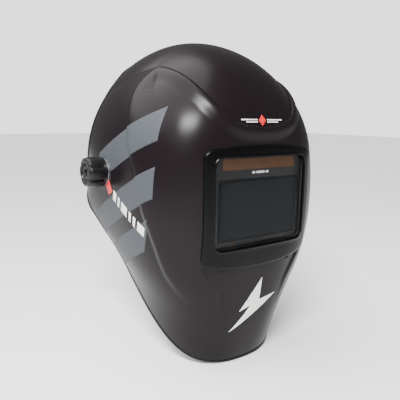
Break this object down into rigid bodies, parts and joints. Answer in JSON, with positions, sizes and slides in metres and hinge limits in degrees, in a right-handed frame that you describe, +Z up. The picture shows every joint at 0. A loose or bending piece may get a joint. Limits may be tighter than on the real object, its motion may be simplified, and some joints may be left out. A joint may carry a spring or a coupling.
{
  "type": "welding helmet",
  "caption": "Flip-up welding helmet: moulded shell with a windowed auto-darkening filter, pivoting on an adjustable ratchet headgear with crown straps and sweatband.",
  "frame": {"origin": "middle of the pivot axis, between the two side bolts, where the headgear seats on the wearer's temples", "axes": "+Z up, the wearer faces -Y, the pivot axis runs along X"},
  "size_m": [0.284, 0.2707, 0.3558],
  "materials": {
    "shell": "satin moulded nylon, near black",
    "bezel": "semi-gloss black",
    "black_plastic": "fine texture",
    "band_plastic": "smooth polyethylene",
    "rubber": "matte",
    "clear_lens": "clear polycarbonate",
    "filter_glass": "dark coated glass",
    "solar": "amber brown cell behind glass",
    "steel": "zinc plated",
    "brass": "turned",
    "padding": "soft towelling over foam",
    "accent": "red"
  },
  "bodies": {
    "headgear": {"forehead_band": "band_plastic", "sweatband": "padding", "crown_strap_rear": "band_plastic", "crown_peg": "black_plastic", "ratchet_housing": "black_plastic", "rear_pad": "padding", "rear_strap_left": "band_plastic", "rear_strap_right": "band_plastic", "crown_strap_left": "band_plastic", "crown_strap_right": "band_plastic", "side_arm_left": "band_plastic", "side_arm_right": "band_plastic", "arm_rivets_left": "steel", "arm_rivets_right": "steel", "pivot_bolt_left": "black_plastic", "pivot_bolt_right": "black_plastic", "pivot_spacer_left": "black_plastic", "pivot_spacer_right": "black_plastic", "stop_plate_left": "black_plastic", "stop_plate_right": "black_plastic", "thrust_washer_left": "steel", "thrust_washer_right": "steel"},
    "shell": {"shell": "shell", "window_bezel": "bezel", "cover_lens": "clear_lens", "lens_gasket": "rubber", "cartridge_holder": "black_plastic", "holder_screws": "steel", "filter_housing": "black_plastic", "filter_glass": "filter_glass", "inner_lens": "clear_lens", "solar_strip": "solar", "arc_sensors": "solar", "bail_hooks": "black_plastic"},
    "retainer_bail": {"retainer_bail": "steel"},
    "tension_knob_left": {"tension_knob_left": "black_plastic", "knob_nut_left": "brass"},
    "tension_knob_right": {"tension_knob_right": "black_plastic", "knob_nut_right": "brass"},
    "ratchet_knob": {"ratchet_knob": "black_plastic", "pinion": "black_plastic"},
    "rack_left": {"rack_left": "band_plastic"},
    "rack_right": {"rack_right": "band_plastic"},
    "shade_dial": {"shade_dial": "black_plastic"},
    "sensitivity_dial": {"sensitivity_dial": "black_plastic"},
    "delay_dial": {"delay_dial": "black_plastic"},
    "grind_switch": {"grind_switch": "accent"},
    "test_button": {"test_button": "accent"},
    "battery_drawer_left": {"battery_drawer_left": "black_plastic", "battery_cell_left": "steel"},
    "battery_drawer_right": {"battery_drawer_right": "black_plastic", "battery_cell_right": "steel"}
  },
  "joints": [
    {"name": "shell_flip", "type": "hinge", "parent": "headgear", "child": "shell", "pos_m": [0, 0, 0], "axis": [-1, 0, 0], "range_deg": [0, 70]},
    {"name": "tension_knob_left_turn", "type": "hinge", "parent": "headgear", "child": "tension_knob_left", "pos_m": [0.13, 0, 0], "axis": [1, 0, 0], "range_deg": [-180, 180]},
    {"name": "tension_knob_right_turn", "type": "hinge", "parent": "headgear", "child": "tension_knob_right", "pos_m": [-0.13, 0, 0], "axis": [-1, 0, 0], "range_deg": [-180, 180]},
    {"name": "ratchet_turn", "type": "hinge", "parent": "headgear", "child": "ratchet_knob", "pos_m": [0, 0.12392, -0.01871], "axis": [0, 0.9135, -0.4067], "range_deg": [-90, 90]},
    {"name": "rack_left_slide", "type": "slide", "parent": "headgear", "child": "rack_left", "axis": [1, 0, 0], "range_m": [-0.0096, 0.0096]},
    {"name": "rack_right_slide", "type": "slide", "parent": "headgear", "child": "rack_right", "axis": [1, 0, 0], "range_m": [-0.0096, 0.0096]},
    {"name": "bail_swing", "type": "hinge", "parent": "shell", "child": "retainer_bail", "pos_m": [0, -0.094, 0.038], "axis": [1, 0, 0], "range_deg": [0, 55]},
    {"name": "shade_turn", "type": "hinge", "parent": "shell", "child": "shade_dial", "pos_m": [0, -0.0965, 0.021], "axis": [0, 1, 0], "range_deg": [-135, 135]},
    {"name": "sensitivity_turn", "type": "hinge", "parent": "shell", "child": "sensitivity_dial", "pos_m": [-0.03, -0.0965, 0.021], "axis": [0, 1, 0], "range_deg": [-135, 135]},
    {"name": "delay_turn", "type": "hinge", "parent": "shell", "child": "delay_dial", "pos_m": [0.03, -0.0965, 0.021], "axis": [0, 1, 0], "range_deg": [-135, 135]},
    {"name": "grind_slide", "type": "slide", "parent": "shell", "child": "grind_switch", "axis": [1, 0, 0], "range_m": [0, 0.0052]},
    {"name": "test_press", "type": "slide", "parent": "shell", "child": "test_button", "axis": [0, -1, 0], "range_m": [0, 0.0014], "stiffness_N_per_m": 400},
    {"name": "battery_left_pull", "type": "slide", "parent": "shell", "child": "battery_drawer_left", "axis": [1, 0, 0], "range_m": [0, 0.016]},
    {"name": "battery_right_pull", "type": "slide", "parent": "shell", "child": "battery_drawer_right", "axis": [-1, 0, 0], "range_m": [0, 0.016]}
  ],
  "couplings": [
    {"joint": "rack_left_slide", "follows": "ratchet_turn", "m_per_rad": 0.006},
    {"joint": "rack_right_slide", "follows": "ratchet_turn", "m_per_rad": -0.006}
  ]
}
